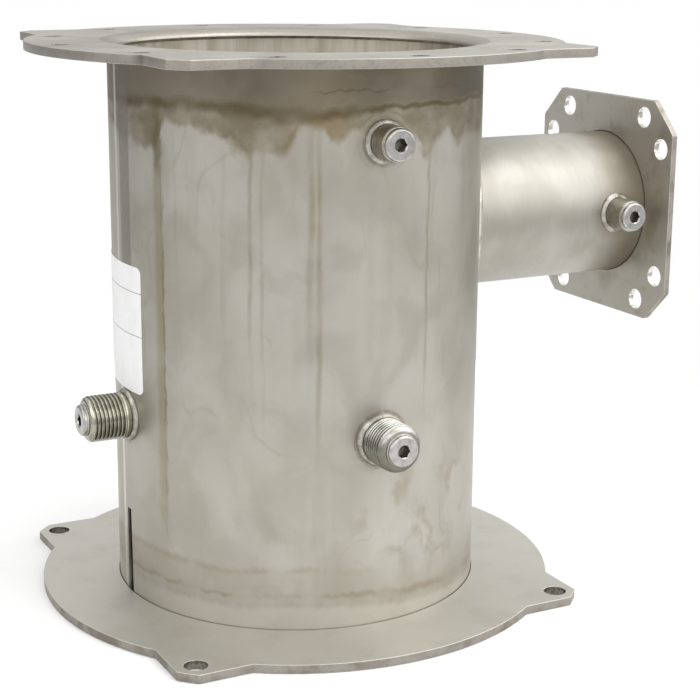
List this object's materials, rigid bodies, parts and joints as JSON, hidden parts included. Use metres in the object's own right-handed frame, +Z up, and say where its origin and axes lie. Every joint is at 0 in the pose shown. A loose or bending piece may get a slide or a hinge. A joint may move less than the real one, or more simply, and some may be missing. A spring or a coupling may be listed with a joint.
{
  "type": "venturi tube",
  "caption": "Welded stainless venturi mixing tube: upright shell between two eared flanges, side gas inlet pipe with square flange, plugged pressure taps and threaded nipples.",
  "frame": {"origin": "centre of the outlet flange's underside, on the air path's axis", "axes": "+Z up the air path towards the inlet flange, +X out along the gas pipe, -Y towards the front taps"},
  "size_m": [0.2952, 0.24, 0.252],
  "materials": {
    "shell_sheet": "pickled satin stainless sheet with heat tint and water marks",
    "flange_plate": "satin stainless plate with cut edges",
    "liner_sheet": "spun stainless sheet",
    "gas_pipe_tube": "drawn stainless tube, satin",
    "tap_stub": "turned stainless bar",
    "socket_plug": "bright turned stainless",
    "seal_washer": "plain soft metal",
    "weld_bead": "bright cleaned weld",
    "label_film": "white printed film, left blank"
  },
  "bodies": {
    "root": {"outer_shell": "shell_sheet", "outlet_flange": "flange_plate", "inlet_flange": "flange_plate", "inlet_nozzle": "liner_sheet", "diffuser": "liner_sheet", "chamber_floor": "liner_sheet", "gas_pipe": "gas_pipe_tube", "gas_flange": "flange_plate", "upper_tap_boss": "tap_stub", "pipe_tap_boss": "tap_stub", "left_tap_nipple": "tap_stub", "front_tap_nipple": "tap_stub", "rating_label": "label_film", "upper_tap_weld": "weld_bead", "upper_tap_washer": "seal_washer", "upper_tap_plug": "socket_plug", "pipe_tap_weld": "weld_bead", "pipe_tap_washer": "seal_washer", "pipe_tap_plug": "socket_plug", "left_tap_weld": "weld_bead", "left_tap_washer": "seal_washer", "left_tap_plug": "socket_plug", "front_tap_weld": "weld_bead", "front_tap_washer": "seal_washer", "front_tap_plug": "socket_plug", "gas_pipe_weld": "weld_bead", "gas_face_weld": "weld_bead", "foot_weld": "weld_bead", "inlet_weld": "weld_bead", "nozzle_weld": "weld_bead"}
  },
  "joints": []
}
